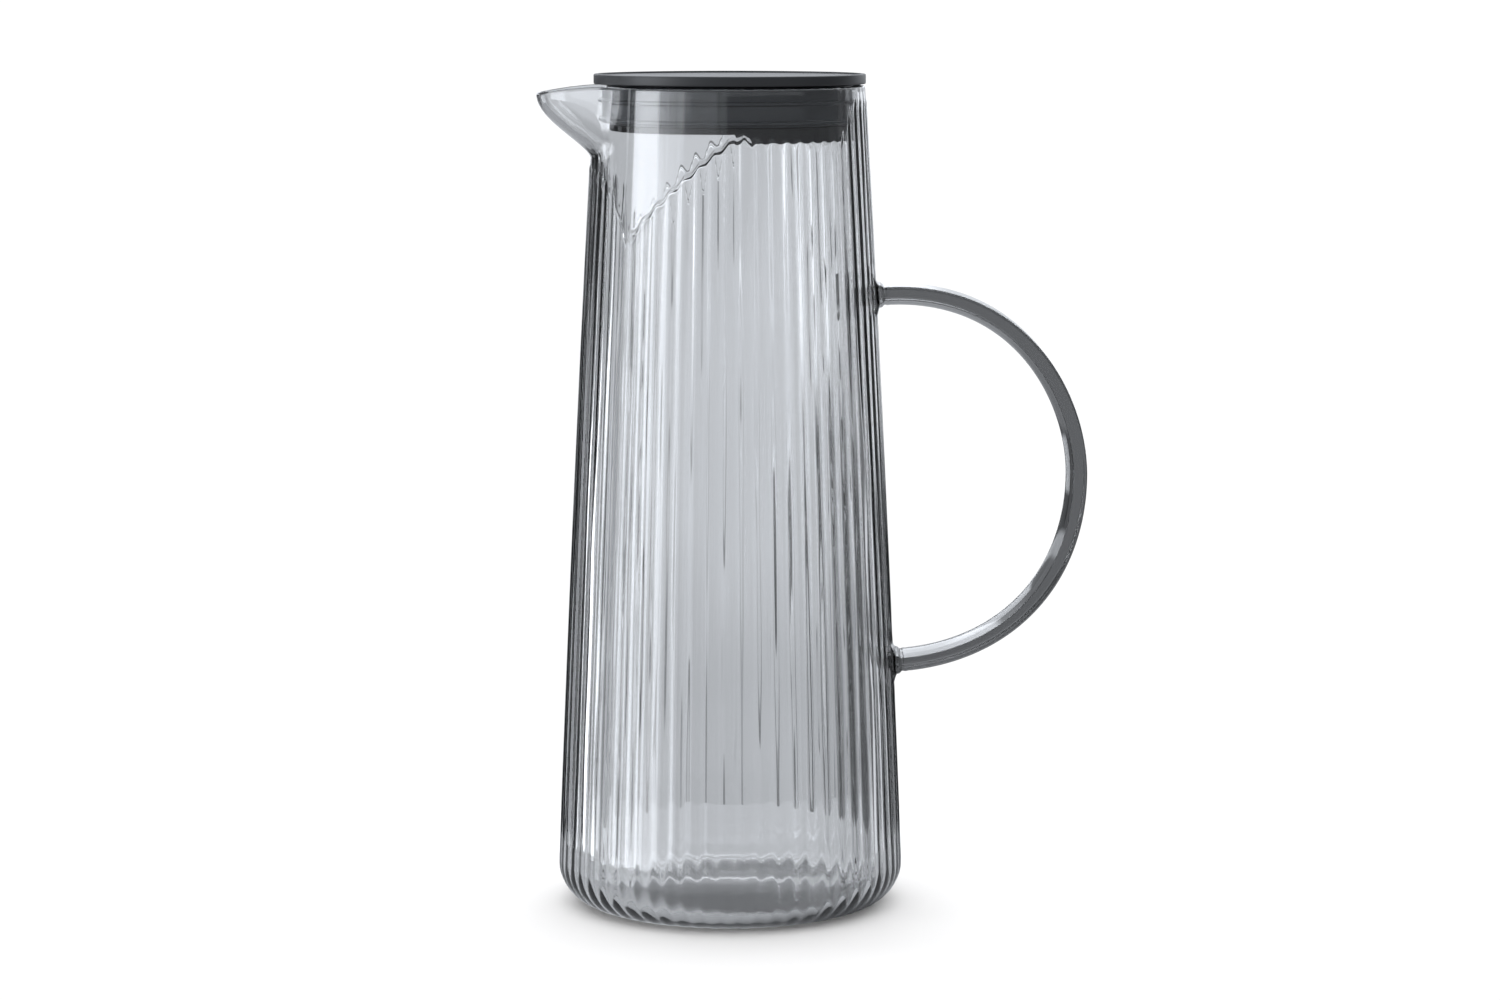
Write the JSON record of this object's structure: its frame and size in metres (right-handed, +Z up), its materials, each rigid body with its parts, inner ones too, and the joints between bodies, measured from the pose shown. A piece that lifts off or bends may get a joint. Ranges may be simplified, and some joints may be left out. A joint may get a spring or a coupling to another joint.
{
  "type": "lidded jug",
  "caption": "Tall ribbed smoked-glass jug with a pulled spout, a flat ribbon handle and a round pull-off lid with a strainer collar and a silicone seal.",
  "frame": {"origin": "centre of the underside, on the jug's axis and on the surface it stands on", "axes": "+Z up along the jug's axis, +X towards the handle, the spout towards -X"},
  "size_m": [0.1711, 0.1084, 0.26],
  "materials": {
    "glass": "smoked borosilicate, blown in a ribbed mould and fire polished",
    "lid_plastic": "matte, fine grained",
    "silicone": "satin silicone"
  },
  "bodies": {
    "jug": {"glass_body": "glass", "glass_handle": "glass"},
    "seal": {"lid_seal": "silicone"},
    "lid": {"lid_cap": "lid_plastic", "lid_collar": "lid_plastic"}
  },
  "joints": [
    {"name": "lid_lift", "type": "slide", "parent": "jug", "child": "seal", "axis": [0, 0, 1], "range_m": [0, 0.045]},
    {"name": "lid_turn", "type": "hinge", "parent": "seal", "child": "lid", "pos_m": [0, 0, 0.2569], "axis": [0, 0, 1], "continuous": true}
  ]
}
